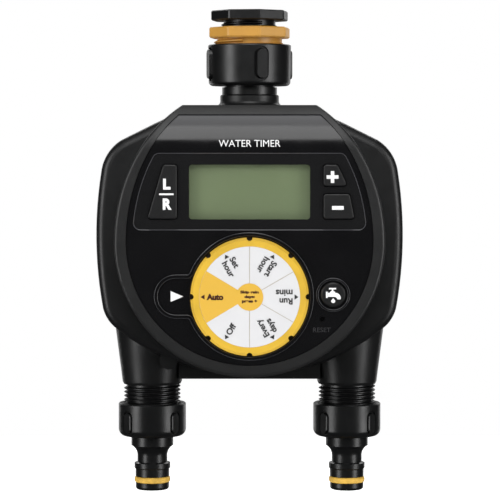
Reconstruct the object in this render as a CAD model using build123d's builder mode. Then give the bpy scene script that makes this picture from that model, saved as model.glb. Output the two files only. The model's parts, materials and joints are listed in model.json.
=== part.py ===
from build123d import *
from math import cos, radians, sin
import os

# Two-outlet tap water timer, in millimetres. X is right, Z is up, and the dial faces -Y.
# The origin is the centre of the tap reducer's top face, where the timer meets the tap.
# The inlet axis and both outlet axes lie in the plane Y = 0.

# ---- pipe threads (parallel pipe threads G1/2, G3/4 and G1) ----
G12_SOCKET_R = 10.5
G12_SOCKET_DEPTH = 11.5
G34_CREST_R = 13.22
G34_ROOT_R = 12.06
G34_PITCH = 1.814
G1_CREST_R = 16.62
G1_ROOT_R = 15.15
G1_PITCH = 2.309
THREAD_GAP = 0.3

# ---- inlet stack heights ----
REDUCER_FLANGE_R = 18.5
REDUCER_FLANGE_Z = -4.6
REDUCER_END_Z = -19.7
RELIEF_R = 11.1
RELIEF_END_Z = -14.0
REDUCER_BORE_R = 7.5
ADAPTER_FLANGE_R = 19.4
ADAPTER_TOP_Z = -7.7
ADAPTER_FLANGE_Z = -12.7
ADAPTER_END_Z = -26.7
ADAPTER_SEAT_Z = -22.0
ADAPTER_BORE_R = 9.5
OCTAGON_TURN = 14
NUT_R = 19.35
NUT_TOP_Z = -15.7
NUT_END_Z = -34.9
NUT_FLOOR = 3.0
NECK_R = 13.7
NECK_TOP_Z = -39.1
SPIGOT_BORE_R = 8.0
GRIP_GROOVE = 0.9

# ---- washers: inner radius, outer radius, underside, top ----
REDUCER_WASHER = (7.7, 10.95, -13.95, -11.8)
ADAPTER_WASHER = (9.7, 13.2, ADAPTER_SEAT_Z, -20.0)
INLET_WASHER = (8.2, 15.0, -29.5, -27.0)
CONNECTOR_WASHER = (6.0, 13.2, -194.5, -192.3)

# ---- case ----
CENTRE_Z = -106.6
COVER_R = 61.7
COVER_RISE = 72.0
COVER_TOP_Z = -44.2
FASCIA_R = 56.2
FASCIA_RISE = 70.8
FASCIA_TOP_Z = -48.6
CAVITY_R = 59.5
CAVITY_RISE = 69.8
CAVITY_TOP_Z = -46.4
FRONT_Y = -35.0
PARTING_Y = -18.0
BACK_Y = 20.0
WALL = 2.2
HOOD_Z = -64.0
HOOD_R = 26.0
PANEL_SET_BACK = 0.6
PANEL_SEAT = 2.4
FLOOR_BACK = 4.2
SEAL_OUTER = (61.1, 71.4, COVER_TOP_Z - 0.6)
SEAL_INNER = (60.1, 70.4, COVER_TOP_Z - 1.6)
SEAL_THICK = 0.8
SCREW_SEAT_Y = -6.0
SCREW_HOLE_R = 1.7
SCREW_WELL_R = 3.3
SCREW_BOSS_R = 4.6

# ---- legs and outlets ----
OUTLET_X = 45.7
LEG_TOP_R = 17.3
LEG_TOP_Z = -146.3
LEG_END_R = 13.9
LEG_END_Z = -174.2
LEG_BORE_R = 11.6
WEB_HALF_X = 33.0
WEB_HALF_Y = 9.0
WEB_END_Z = -171.3
SPIGOT_END_Z = -192.0
CONNECTOR_TOP_Z = -183.1
CONNECTOR_NUT_R = 15.75
CONNECTOR_NUT_END_Z = -198.8
CONNECTOR_FLOOR_Z = -194.5
NIPPLE_BORE_R = 4.6
NIPPLE_END_Z = -224.1

# ---- dial, display and buttons ----
DIAL_Z = -131.3
DIAL_R = 26.9
LABEL_R = 22.9
DIAL_BACK_Y = -32.9
DIAL_FRONT_Y = -38.0
KEYHOLE_R = 29.2
RIM_WIDTH = 1.7
RIM_HEIGHT = 0.6
TAB_X = -33.5
TAB_R = 10.0
LCD_X = 55.0
LCD_TOP_Z = -71.4
LCD_END_Z = -96.2
BUTTON_CORNER = 1.3
BUTTON_GAP = 0.35
BUTTON_PROUD = 0.9
BUTTON_LIP = 1.2
MANUAL_X = 38.0
MANUAL_Z = -130.5
MANUAL_R = 5.55
MANUAL_RIM_R = 7.75
RESET_X = 33.1
RESET_Z = -141.5
RESET_R = 0.85
SURROUND_TOP_Z = -66.4
SURROUND_END_Z = -100.8
SURROUND_DEPTH = 0.4
HUB_HOLE_R = 5.4
MODE_OUTLINE = [(-39.1, -71.4), (-33.0, -71.4), (-33.0, -96.0), (-46.4, -96.0)]
PLUS_OUTLINE = [(33.6, -71.4), (39.8, -71.4), (44.4, -81.1), (33.6, -81.1)]
MINUS_OUTLINE = [(33.6, -84.7), (45.4, -84.7), (47.6, -96.0), (33.6, -96.0)]

# ---- controller electronics ----
BOARD_FRONT_Y = -26.0
BOARD_BACK_Y = -24.4
SWITCH_TOP_Y = -28.3
STEM_R = 1.6
SHAFT_R = 3.0
RUNNING_GAP = 0.05
BOARD_POSTS = [(-50, -104), (50, -104), (-24, -146), (24, -146)]
CASE_SCREWS = [(-24, -56), (24, -56), (-16, -158), (16, -158)]
SWITCH_PLACES = [(-39.5, -84.5), (38.2, -76.6), (39.8, -90.4), (MANUAL_X, MANUAL_Z), (RESET_X, RESET_Z)]

# ---- valves ----
VALVE_BODY_TOP_Z = -46.2
VALVE_BODY_END_Z = -144.0
VALVE_BODY_R = 11.4
SPIGOT_SOCKET_R = 9.6
CHAMBER_R = 12.5
CHAMBER_BORE_R = 10.3
SEAT_R = 5.6
SEAT_BORE_R = 4.0
SEAT_Z = -104.0
MANIFOLD_R = 6.5
MANIFOLD_BORE_R = 4.5
VALVE_FLANGE_R = 15.2
CHAMBER_TOP_Z = -101.6
DIAPHRAGM_TOP_Z = -100.4
COVER_PLATE_Z = -97.4
GUIDE_R = 4.6
PLUNGER_R = 3.64
GUIDE_TOP_Z = -70.0
MANIFOLD_Z = -110.0
VALVE_SCREW_CIRCLE_R = 12.4
VALVE_SCREW_R = 1.15
COIL_R = 8.6
COIL_INNER_R = 5.7
COIL_TOP_Z = -75.2
COIL_END_Z = -92.6

# ---- batteries ----
CELL_R = 7.2
CELL_Y = 21.0
CELL_ROWS_Z = (-94.6, -109.8)
CELL_HALF_LENGTH = 24.8
TRAY_HALF_X = 32.0
TRAY_TOP_Z = -84.0
TRAY_END_Z = -120.0
TRAY_FRONT_Y = 12.4
TRAY_BACK_Y = 27.2
BULGE_HALF_X = 35.5
BULGE_TOP_Z = -80.5
BULGE_END_Z = -125.0
BULGE_BACK_Y = 31.0
DOOR_HALF_X = 32.6
HINGE_Y = 29.2
HINGE_Z = -120.9
HINGE_PIN_R = 1.2
HINGE_BARREL_R = 1.8
HINGE_ROOM = 2.2
DOOR_THICK = 2.0
TRAY_WALL = 1.2


def at_y(y):
    """Sketch plane facing the front at depth y: its axes are X and Z, and it extrudes to -Y."""
    return Plane.XZ.offset(-y)


def at_z(z):
    """Sketch plane facing up at height z."""
    return Plane.XY.offset(z)


def save(piece, name):
    """Label a finished piece and write its STEP file."""
    piece.part.label = name
    export_step(piece.part, f"parts/{name}.step")


def turned(points, x=0):
    """Solid turned from a closed outline of (radius, z) points about the upright axis at x."""
    with BuildPart() as solid:
        with BuildSketch(Plane.XZ):
            with BuildLine():
                Polyline([(x + r, z) for r, z in points], close=True)
            make_face()
        revolve(axis=Axis((x, 0, 0), (0, 0, 1)))
    return solid.part


def turned_front(points, x, z):
    """Solid turned from a closed outline of (y, radius) points about the front-to-back axis at x, z."""
    with BuildPart() as solid:
        with BuildSketch(Plane.YZ.offset(x)):
            with BuildLine():
                Polyline([(y, z + r) for y, r in points], close=True)
            make_face()
        revolve(axis=Axis((x, 0, z), (0, 1, 0)))
    return solid.part


def helical_ridge(x, root_r, crest_r, pitch, z_low, z_high):
    """Ridge of an outside pipe thread: a 55 degree profile swept along a helix."""
    depth = crest_r - root_r
    half_root = 0.46 * pitch
    with BuildPart() as ridge:
        path = Helix(pitch, z_high - z_low - pitch, root_r, center=(x, 0, z_low + pitch / 2))
        with BuildSketch(Plane(origin=path @ 0, x_dir=(1, 0, 0), z_dir=path % 0)):
            with BuildLine():
                Polyline((-0.15, -half_root), (depth, -0.08 * pitch), (depth, 0.08 * pitch),
                         (-0.15, half_root), close=True)
            make_face()
        sweep(path=path, is_frenet=True)
    return ridge.part


def grip_pads(x, start_turn, from_r, to_r, width, z_low, z_high, taper=0):
    """Four pill-shaped pads on a nut's side, a quarter turn apart, from one radius to another."""
    with BuildPart() as pads:
        for turn in range(4):
            angle = radians(start_turn - 90 + 90 * turn)
            out = Vector(cos(angle), sin(angle), 0)
            foot = Vector(x, 0, (z_low + z_high) / 2) + out * from_r
            with BuildSketch(Plane(origin=foot, x_dir=(0, 0, 1), z_dir=out)):
                SlotOverall(z_high - z_low, width)
            extrude(amount=to_r - from_r, taper=taper)
    return pads.part


def egg_outline(side, rise, top):
    """Outline of the case front: half circle below, half ellipse above, cut off flat at the top."""
    with Locations((0, CENTRE_Z)):
        Ellipse(side, rise)
        Rectangle(3 * side, 3 * side, align=(Align.CENTER, Align.MAX), mode=Mode.SUBTRACT)
        Circle(side)
    with Locations((0, top)):
        Rectangle(3 * side, side, align=(Align.CENTER, Align.MIN), mode=Mode.SUBTRACT)


def side_view(depth):
    """Side view of everything more than depth behind the front surface, which rolls back at the top."""
    front = FRONT_Y + depth
    centre_y = FRONT_Y + HOOD_R
    roll = HOOD_R - depth
    sweep_angle = 70
    top_y = centre_y - roll * cos(radians(sweep_angle))
    top_z = HOOD_Z + roll * sin(radians(sweep_angle))
    with BuildSketch(Plane.YZ) as view:
        with BuildLine():
            Polyline((PARTING_Y + 8, top_z + 8), (PARTING_Y + 8, -190), (front, -190), (front, HOOD_Z))
            CenterArc((centre_y, HOOD_Z), roll, 180, -sweep_angle)
            Polyline((top_y, top_z), (top_y, top_z + 8), (PARTING_Y + 8, top_z + 8))
        make_face()
    return view.sketch


def egg_block(side, rise, top, depth):
    """Block of the egg outline from the parting plane to depth behind the rolled front surface."""
    with BuildPart() as block:
        with BuildSketch(at_y(PARTING_Y)):
            egg_outline(side, rise, top)
        extrude(amount=30)
        extrude(side_view(depth), amount=100, both=True, mode=Mode.INTERSECT)
    return block.part


def button_sketch(outline, grow):
    """Four-sided button outline with rounded corners, grown outwards."""
    with BuildSketch(mode=Mode.PRIVATE) as shape:
        with BuildLine():
            Polyline(outline, close=True)
        make_face()
        fillet(shape.vertices(), BUTTON_CORNER)
    if grow:
        add(offset(shape.sketch, amount=grow, mode=Mode.PRIVATE))
    else:
        add(shape.sketch)


def panel_openings(grow):
    """Openings for the display, the buttons, the reset pin and the dial hub."""
    with Locations((0, (LCD_TOP_Z + LCD_END_Z) / 2)):
        RectangleRounded(LCD_X + 2 * grow, LCD_TOP_Z - LCD_END_Z + 2 * grow, 1.4 + grow)
    for outline in (MODE_OUTLINE, PLUS_OUTLINE, MINUS_OUTLINE):
        button_sketch(outline, BUTTON_GAP + grow)
    with Locations((MANUAL_X, MANUAL_Z)):
        Circle(MANUAL_R + BUTTON_GAP + grow)
    with Locations((RESET_X, RESET_Z)):
        Circle(RESET_R + 0.25)


def keyhole(inset):
    """Keyhole outline of the dial well and its pointer tab, with the inner corners rounded."""
    with BuildSketch(mode=Mode.PRIVATE) as shape:
        with Locations((0, DIAL_Z)):
            Circle(KEYHOLE_R - inset)
        with Locations((TAB_X, DIAL_Z)):
            Circle(TAB_R - inset)
            Rectangle(16, 2 * (TAB_R - inset), align=(Align.MIN, Align.CENTER))
        corners = shape.vertices().filter_by(lambda v: -KEYHOLE_R < v.X < TAB_X + 15)
        fillet(corners, 1.5 + inset)
    return shape.sketch


def display_surround():
    """Outline of the shallow step round the display and the buttons beside it."""
    with BuildSketch(mode=Mode.PRIVATE) as shape:
        with Locations((0, CENTRE_Z)):
            Ellipse(53.0, 68.0)
        with Locations((0, SURROUND_TOP_Z)):
            Rectangle(120, 40, align=(Align.CENTER, Align.MIN), mode=Mode.SUBTRACT)
        with Locations((0, SURROUND_END_Z)):
            Rectangle(120, 90, align=(Align.CENTER, Align.MAX), mode=Mode.SUBTRACT)
        fillet(shape.vertices(), 3.0)
    return shape.sketch


# ---- inlet stack ----

def tap_reducer():
    with BuildPart() as reducer:
        with BuildSketch(at_z(REDUCER_FLANGE_Z)):
            RegularPolygon(REDUCER_FLANGE_R, 8, rotation=OCTAGON_TURN)
        extrude(amount=-REDUCER_FLANGE_Z)
        chamfer(reducer.edges().filter_by(GeomType.LINE), 0.5)
        add(turned([(0, REDUCER_FLANGE_Z + 1), (G34_ROOT_R, REDUCER_FLANGE_Z + 1),
                    (G34_ROOT_R, REDUCER_END_Z), (0, REDUCER_END_Z)]))
        add(helical_ridge(0, G34_ROOT_R, G34_CREST_R, G34_PITCH, REDUCER_END_Z + 0.5, REDUCER_FLANGE_Z - 0.4))
        with BuildSketch(at_z(0)):
            Circle(G12_SOCKET_R)
        extrude(amount=-G12_SOCKET_DEPTH, mode=Mode.SUBTRACT)
        with BuildSketch(at_z(-G12_SOCKET_DEPTH)):
            Circle(RELIEF_R)
        extrude(amount=RELIEF_END_Z + G12_SOCKET_DEPTH, mode=Mode.SUBTRACT)
        with BuildSketch(at_z(0)):
            Circle(REDUCER_BORE_R)
        extrude(amount=REDUCER_END_Z, mode=Mode.SUBTRACT)
    save(reducer, "tap_reducer")


def tap_adapter():
    with BuildPart() as adapter:
        with BuildSketch(at_z(ADAPTER_FLANGE_Z)):
            RegularPolygon(ADAPTER_FLANGE_R, 8, rotation=OCTAGON_TURN)
        extrude(amount=ADAPTER_TOP_Z - ADAPTER_FLANGE_Z)
        chamfer(adapter.edges().filter_by(GeomType.LINE), 0.6)
        add(turned([(0, ADAPTER_TOP_Z - 1), (G1_ROOT_R, ADAPTER_TOP_Z - 1), (G1_ROOT_R, ADAPTER_END_Z),
                    (0, ADAPTER_END_Z)]))
        add(helical_ridge(0, G1_ROOT_R, G1_CREST_R, G1_PITCH, ADAPTER_END_Z + 0.5, ADAPTER_FLANGE_Z - 0.3))
        with BuildSketch(at_z(ADAPTER_TOP_Z)):
            Circle(G34_CREST_R + THREAD_GAP)
        extrude(amount=ADAPTER_SEAT_Z - ADAPTER_TOP_Z, mode=Mode.SUBTRACT)
        with BuildSketch(at_z(ADAPTER_TOP_Z)):
            Circle(ADAPTER_BORE_R)
        extrude(amount=ADAPTER_END_Z - ADAPTER_TOP_Z, mode=Mode.SUBTRACT)
    save(adapter, "tap_adapter")


def washer(name, x, inner, outer, z_low, z_high):
    with BuildPart() as ring:
        with BuildSketch(at_z(z_low)):
            with Locations((x, 0)):
                Circle(outer)
                Circle(inner, mode=Mode.SUBTRACT)
        extrude(amount=z_high - z_low)
        fillet(ring.edges().filter_by(GeomType.CIRCLE), 0.3)
    save(ring, name)


def inlet_nut():
    floor_z = NUT_END_Z + NUT_FLOOR
    cavity_r = G1_CREST_R + THREAD_GAP + 0.05
    with BuildPart() as nut:
        add(turned([(cavity_r, NUT_TOP_Z), (NUT_R, NUT_TOP_Z), (NUT_R - 0.3, NUT_END_Z), (12.2, NUT_END_Z),
                    (12.2, floor_z), (cavity_r, floor_z)]))
        outer_edges = nut.edges().filter_by(GeomType.CIRCLE).filter_by(lambda e: e.radius > 18)
        fillet(outer_edges.sort_by(Axis.Z)[0], 2.0)
        fillet(outer_edges.sort_by(Axis.Z)[-1], 0.8)
        add(grip_pads(0, 17, NUT_R - GRIP_GROOVE, NUT_R + 2, 7.0, -32.9, -16.9), mode=Mode.SUBTRACT)
        add(grip_pads(0, 17, NUT_R - GRIP_GROOVE - 0.5, NUT_R + 0.95, 5.8, -32.2, -17.6, 15))
    save(nut, "inlet_nut")


def inlet_spigot():
    flange_top = NUT_END_Z + NUT_FLOOR + 2.3
    flange_end = flange_top - 2.0
    with BuildPart() as spigot:
        add(turned([(SPIGOT_BORE_R, flange_top), (15.6, flange_top), (15.6, flange_end), (11.7, flange_end),
                    (11.7, -35.6), (12.8, -35.6), (12.8, -38.9), (11.4, -38.9), (11.4, -46.0), (9.55, -46.0),
                    (9.55, -54.0), (SPIGOT_BORE_R, -54.0)]))
    save(spigot, "inlet_spigot")


def filter_screen():
    """Thimble filter: a rim on the spigot's end and a slotted cup down its bore."""
    with BuildPart() as screen:
        add(turned([(0, -45.0), (6.4, -45.0), (7.5, -29.4), (7.9, -29.4), (7.9, -28.6), (6.7, -28.6),
                    (5.7, -44.2), (0, -44.2)]))
        with BuildSketch(at_z(-45.0)):
            with GridLocations(2.4, 2.4, 4, 4):
                Circle(0.7)
        extrude(amount=2, mode=Mode.SUBTRACT)
        for turn in range(8):
            angle = radians(22.5 + 45 * turn)
            out = Vector(cos(angle), sin(angle), 0)
            with BuildSketch(Plane(origin=Vector(0, 0, -36.8) + out * 4.5, x_dir=(0, 0, 1), z_dir=out)):
                SlotOverall(11.0, 1.8)
            extrude(amount=5, mode=Mode.SUBTRACT)
    save(screen, "filter_screen")


# ---- case ----

def shell_outline(y, inset):
    """Outline of the rear housing: flat top, sloping shoulders, long curved sides, curved bottom."""
    with BuildSketch(at_y(y)) as outline:
        with BuildLine():
            for side in (-1, 1):
                Polyline((0, -44.0), (side * 27.0, -44.6), (side * 43.7, -52.4), (side * 59.0, -60.0))
                ThreePointArc((side * 59.0, -60.0), (side * 65.4, -66.2), (side * 68.6, -75.0))
                ThreePointArc((side * 68.6, -75.0), (side * 70.9, -107.0), (side * 67.9, -138.0))
                ThreePointArc((side * 67.9, -138.0), (side * 66.2, -142.2), (side * 63.0, -146.3))
            ThreePointArc((-63.0, -146.3), (0, -169.2), (63.0, -146.3))
        make_face()
        if inset:
            offset(amount=-inset, mode=Mode.REPLACE)
    return outline.sketch


def leg(side):
    """Tapered leg round one outlet, with a chamfered end."""
    return turned([(0, LEG_TOP_Z), (LEG_TOP_R, LEG_TOP_Z), (LEG_END_R, LEG_END_Z + 1.2),
                   (LEG_END_R - 0.6, LEG_END_Z), (0, LEG_END_Z)], side * OUTLET_X)


def rear_housing():
    with BuildPart() as housing_cavity:
        extrude(shell_outline(BACK_Y - WALL, 2.4), amount=BACK_Y - WALL - PARTING_Y - WALL)
        fillet(housing_cavity.faces().sort_by(Axis.Y)[-1].edges(), 5.0)
    with BuildPart() as housing:
        extrude(shell_outline(BACK_Y, 0), amount=BACK_Y - PARTING_Y)
        fillet(housing.faces().sort_by(Axis.Y)[0].edges(), 4.0)
        fillet(housing.faces().sort_by(Axis.Y)[-1].edges(), 7.0)
        with BuildSketch(at_y(BULGE_BACK_Y)):
            with Locations((0, (BULGE_TOP_Z + BULGE_END_Z) / 2)):
                RectangleRounded(2 * BULGE_HALF_X, BULGE_TOP_Z - BULGE_END_Z, 4.0)
        extrude(amount=BULGE_BACK_Y - BACK_Y + 1)
        add(housing_cavity.part, mode=Mode.SUBTRACT)
        with BuildSketch(at_y(PARTING_Y + 10)):
            egg_outline(CAVITY_R, CAVITY_RISE, CAVITY_TOP_Z)
        extrude(amount=10, mode=Mode.SUBTRACT)
        for side in (-1, 1):
            add(leg(side))
        add(turned([(0, NECK_TOP_Z), (NECK_R - 0.5, NECK_TOP_Z), (NECK_R, NECK_TOP_Z - 0.5),
                    (NECK_R, -42.3), (NECK_R + 0.3, -43.1), (NECK_R + 0.9, -43.8), (NECK_R + 1.8, -44.2),
                    (NECK_R + 1.8, -46.0), (0, -46.0)]))
        with BuildSketch(at_y(WEB_HALF_Y)):
            with Locations((0, WEB_END_Z)):
                Rectangle(2 * WEB_HALF_X, 8.0, align=(Align.CENTER, Align.MIN))
        extrude(amount=2 * WEB_HALF_Y)
        with BuildSketch(at_y(0)):
            with Locations((-37.5, -162.0)):
                Circle(4.2)
        extrude(amount=17)
        with BuildSketch(at_y(BACK_Y - 1)):
            with Locations(*CASE_SCREWS):
                Circle(SCREW_BOSS_R)
        extrude(amount=BACK_Y - 1 - PARTING_Y)
        with BuildSketch(at_y(BACK_Y + 1)):
            with Locations(*CASE_SCREWS):
                Circle(SCREW_WELL_R)
        extrude(amount=BACK_Y + 1 - SCREW_SEAT_Y, mode=Mode.SUBTRACT)
        with BuildSketch(at_y(BACK_Y)):
            with Locations(*CASE_SCREWS):
                Circle(SCREW_HOLE_R)
        extrude(amount=BACK_Y - PARTING_Y + 1, mode=Mode.SUBTRACT)
        with BuildSketch(at_z(NECK_TOP_Z)):
            Circle(LEG_BORE_R)
        extrude(amount=-12, mode=Mode.SUBTRACT)
        with BuildSketch(at_z(LEG_TOP_Z + 2)):
            with Locations((-OUTLET_X, 0), (OUTLET_X, 0)):
                Circle(LEG_BORE_R)
        extrude(amount=LEG_END_Z - LEG_TOP_Z - 4, mode=Mode.SUBTRACT)
        with BuildSketch(at_y(BULGE_BACK_Y)):
            with Locations((0, HINGE_Z - HINGE_ROOM)):
                Rectangle(2 * DOOR_HALF_X + 0.8, TRAY_TOP_Z + 1 - HINGE_Z + HINGE_ROOM,
                          align=(Align.CENTER, Align.MIN))
        extrude(amount=14, mode=Mode.SUBTRACT)
        with BuildSketch(Plane.YZ.offset(-DOOR_HALF_X - 2)):
            with Locations((HINGE_Y, HINGE_Z)):
                Circle(HINGE_PIN_R + RUNNING_GAP)
        extrude(amount=2 * DOOR_HALF_X + 4, mode=Mode.SUBTRACT)
        with BuildSketch(at_y(PARTING_Y + SEAL_THICK)):
            egg_outline(*SEAL_OUTER)
            add(seal_inner(), mode=Mode.SUBTRACT)
        extrude(amount=2, mode=Mode.SUBTRACT)
    save(housing, "rear_housing")


def seal_inner():
    """Inner edge of the seal groove as a flat shape."""
    with BuildSketch(mode=Mode.PRIVATE) as inner:
        egg_outline(*SEAL_INNER)
    return inner.sketch


def housing_seal():
    with BuildPart() as seal:
        with BuildSketch(at_y(PARTING_Y + SEAL_THICK)):
            egg_outline(*SEAL_OUTER)
            add(seal_inner(), mode=Mode.SUBTRACT)
        extrude(amount=SEAL_THICK)
    save(seal, "housing_seal")


def front_cover():
    outer = egg_block(COVER_R, COVER_RISE, COVER_TOP_Z, 0)
    cavity = egg_block(CAVITY_R, CAVITY_RISE, CAVITY_TOP_Z, FLOOR_BACK)
    seat_front = egg_block(FASCIA_R + 0.1, FASCIA_RISE + 0.1, FASCIA_TOP_Z + 0.1, -4)
    seat_floor = egg_block(FASCIA_R + 0.1, FASCIA_RISE + 0.1, FASCIA_TOP_Z + 0.1, PANEL_SEAT)
    with BuildPart() as cover:
        add(outer)
        front_edges = cover.edges().filter_by(lambda e: e.center().Y < FRONT_Y + 12 and e.length > 20)
        fillet(front_edges.sort_by(Axis.Y)[:2], 1.6)
        add(cavity, mode=Mode.SUBTRACT)
        with BuildSketch(at_y(PARTING_Y)):
            with Locations(*CASE_SCREWS):
                Circle(3.6)
        extrude(amount=13)
        with BuildSketch(at_y(BOARD_FRONT_Y)):
            with Locations(*BOARD_POSTS):
                Circle(2.8)
        extrude(amount=5)
        add(seat_front - seat_floor, mode=Mode.SUBTRACT)
        with BuildSketch(at_y(PARTING_Y)):
            panel_openings(0.1)
            with Locations((0, DIAL_Z)):
                Circle(HUB_HOLE_R)
        extrude(amount=20, mode=Mode.SUBTRACT)
        with BuildSketch(at_y(PARTING_Y)):
            with Locations(*CASE_SCREWS):
                Circle(1.5)
        extrude(amount=9, mode=Mode.SUBTRACT)
        with BuildSketch(at_y(BOARD_FRONT_Y)):
            with Locations(*BOARD_POSTS):
                Circle(1.1)
        extrude(amount=4, mode=Mode.SUBTRACT)
    save(cover, "front_cover")


def fascia_panel():
    panel_front = egg_block(FASCIA_R, FASCIA_RISE, FASCIA_TOP_Z, PANEL_SET_BACK)
    panel_back = egg_block(FASCIA_R + 1, FASCIA_RISE + 1, FASCIA_TOP_Z + 1, PANEL_SEAT - 0.05)
    face_y = FRONT_Y + PANEL_SET_BACK
    with BuildPart() as panel:
        add(panel_front)
        add(panel_back, mode=Mode.SUBTRACT)
        with BuildSketch(at_y(face_y + SURROUND_DEPTH)):
            add(display_surround())
        extrude(amount=2 * SURROUND_DEPTH, taper=-45, mode=Mode.SUBTRACT)
        with BuildSketch(at_y(face_y)):
            add(keyhole(0))
            with Locations((MANUAL_X, MANUAL_Z)):
                Circle(MANUAL_RIM_R)
        extrude(amount=RIM_HEIGHT)
        with BuildSketch(at_y(face_y + 0.4)):
            add(keyhole(RIM_WIDTH))
            with Locations((MANUAL_X, MANUAL_Z)):
                Circle(MANUAL_RIM_R - 1.05)
        extrude(amount=3, mode=Mode.SUBTRACT)
        rim_edges = panel.edges().filter_by(lambda e: abs(e.center().Y - face_y + RIM_HEIGHT) < 0.01)
        fillet(rim_edges, 0.3)
        with BuildSketch(at_y(PARTING_Y)):
            panel_openings(0)
            with Locations((0, DIAL_Z)):
                Circle(KEYHOLE_R - RIM_WIDTH)
        extrude(amount=20, mode=Mode.SUBTRACT)
    save(panel, "fascia_panel")


def screw(x, y, z, length, shank_r, head_r):
    """Pan head screw driven towards -Y, with its head's underside at y and a cross slot."""
    with BuildPart() as driven:
        add(turned_front([(y, 0), (y, head_r), (y + 1.2, head_r), (y + 1.9, head_r - 0.8), (y + 1.9, 0)],
                         x, z))
        add(turned_front([(y, 0), (y, shank_r), (y - length + 1, shank_r), (y - length, 0)], x, z))
        with BuildSketch(at_y(y + 2)):
            with Locations((x, z)):
                Rectangle(head_r, 0.6)
                Rectangle(0.6, head_r)
        extrude(amount=1.2, mode=Mode.SUBTRACT)
    return driven.part


def housing_screws():
    with BuildPart() as screws:
        for x, z in CASE_SCREWS:
            add(screw(x, SCREW_SEAT_Y, z, 20, 1.45, 2.9))
    save(screws, "housing_screws")


def board_screws():
    with BuildPart() as screws:
        for x, z in BOARD_POSTS:
            add(screw(x, BOARD_BACK_Y, z, 5, 1.05, 2.2))
    save(screws, "board_screws")


# ---- water side ----

def valve_body():
    """Inlet tube, cross manifold and two valve chambers, with their seats and outlet sockets."""
    manifold_end_z = MANIFOLD_Z - MANIFOLD_R
    with BuildPart() as body:
        add(turned([(0, VALVE_BODY_TOP_Z), (VALVE_BODY_R, VALVE_BODY_TOP_Z), (VALVE_BODY_R, MANIFOLD_Z - 9),
                    (0, MANIFOLD_Z - 9)]))
        with BuildSketch(Plane.YZ.offset(-OUTLET_X)):
            with Locations((0, MANIFOLD_Z)):
                Circle(MANIFOLD_R)
        extrude(amount=2 * OUTLET_X)
        for side in (-1, 1):
            add(turned([(0, CHAMBER_TOP_Z), (VALVE_FLANGE_R, CHAMBER_TOP_Z),
                        (VALVE_FLANGE_R, CHAMBER_TOP_Z - 3), (CHAMBER_R, CHAMBER_TOP_Z - 3),
                        (CHAMBER_R, -119), (11.2, -124),
                        (11.2, VALVE_BODY_END_Z), (0, VALVE_BODY_END_Z)], side * OUTLET_X))
        with BuildSketch(at_z(VALVE_BODY_TOP_Z)):
            Circle(SPIGOT_SOCKET_R)
        extrude(amount=-8, mode=Mode.SUBTRACT)
        with BuildSketch(at_z(VALVE_BODY_TOP_Z)):
            Circle(SPIGOT_BORE_R)
        extrude(amount=manifold_end_z - VALVE_BODY_TOP_Z, mode=Mode.SUBTRACT)
        with BuildSketch(Plane.YZ.offset(-OUTLET_X)):
            with Locations((0, MANIFOLD_Z)):
                Circle(MANIFOLD_BORE_R)
        extrude(amount=2 * OUTLET_X, mode=Mode.SUBTRACT)
        with BuildSketch(at_z(CHAMBER_TOP_Z)):
            with Locations((-OUTLET_X, 0), (OUTLET_X, 0)):
                Circle(CHAMBER_BORE_R)
        extrude(amount=-14.5, mode=Mode.SUBTRACT)
        with BuildSketch(at_z(SEAT_Z)):
            with Locations((-OUTLET_X, 0), (OUTLET_X, 0)):
                Circle(SEAT_R)
        extrude(amount=-14)
        with BuildSketch(at_z(SEAT_Z)):
            with Locations((-OUTLET_X, 0), (OUTLET_X, 0)):
                Circle(SEAT_BORE_R)
        extrude(amount=VALVE_BODY_END_Z - SEAT_Z, mode=Mode.SUBTRACT)
        with BuildSketch(at_z(VALVE_BODY_END_Z)):
            with Locations((-OUTLET_X, 0), (OUTLET_X, 0)):
                Circle(SPIGOT_SOCKET_R)
        extrude(amount=10, mode=Mode.SUBTRACT)
        with BuildSketch(at_z(CHAMBER_TOP_Z)):
            valve_screw_circles(VALVE_SCREW_R)
        extrude(amount=-6, mode=Mode.SUBTRACT)
    save(body, "valve_body")


def valve_screw_circles(radius):
    """Circles at the four clamp screws of both valves."""
    for side in (-1, 1):
        with Locations((side * OUTLET_X, 0)):
            with PolarLocations(VALVE_SCREW_CIRCLE_R, 4, start_angle=45):
                Circle(radius)


def diaphragm(name, x):
    with BuildPart() as disc:
        add(turned([(0.6, DIAPHRAGM_TOP_Z), (10.9, DIAPHRAGM_TOP_Z), (10.9, CHAMBER_TOP_Z),
                    (8.6, CHAMBER_TOP_Z),
                    (7.6, CHAMBER_TOP_Z - 0.8), (6.6, CHAMBER_TOP_Z), (5.4, CHAMBER_TOP_Z), (5.4, -103.9),
                    (0.6, -103.9)], x))
    save(disc, name)


def valve_cover(name, x):
    with BuildPart() as cover:
        add(turned([(0, DIAPHRAGM_TOP_Z), (VALVE_FLANGE_R, DIAPHRAGM_TOP_Z), (VALVE_FLANGE_R, COVER_PLATE_Z),
                    (GUIDE_R, COVER_PLATE_Z), (GUIDE_R, GUIDE_TOP_Z), (0, GUIDE_TOP_Z)], x))
        with BuildSketch(at_z(DIAPHRAGM_TOP_Z)):
            with Locations((x, 0)):
                Circle(9.0)
        extrude(amount=1.4, mode=Mode.SUBTRACT)
        with BuildSketch(at_z(DIAPHRAGM_TOP_Z)):
            with Locations((x, 0)):
                Circle(PLUNGER_R + RUNNING_GAP)
        extrude(amount=GUIDE_TOP_Z - DIAPHRAGM_TOP_Z - 1.4, mode=Mode.SUBTRACT)
        with BuildSketch(at_z(DIAPHRAGM_TOP_Z - 1)):
            with Locations((x, 0)):
                with PolarLocations(VALVE_SCREW_CIRCLE_R, 4, start_angle=45):
                    Circle(VALVE_SCREW_R + 0.15)
        extrude(amount=6, mode=Mode.SUBTRACT)
    save(cover, name)


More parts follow.
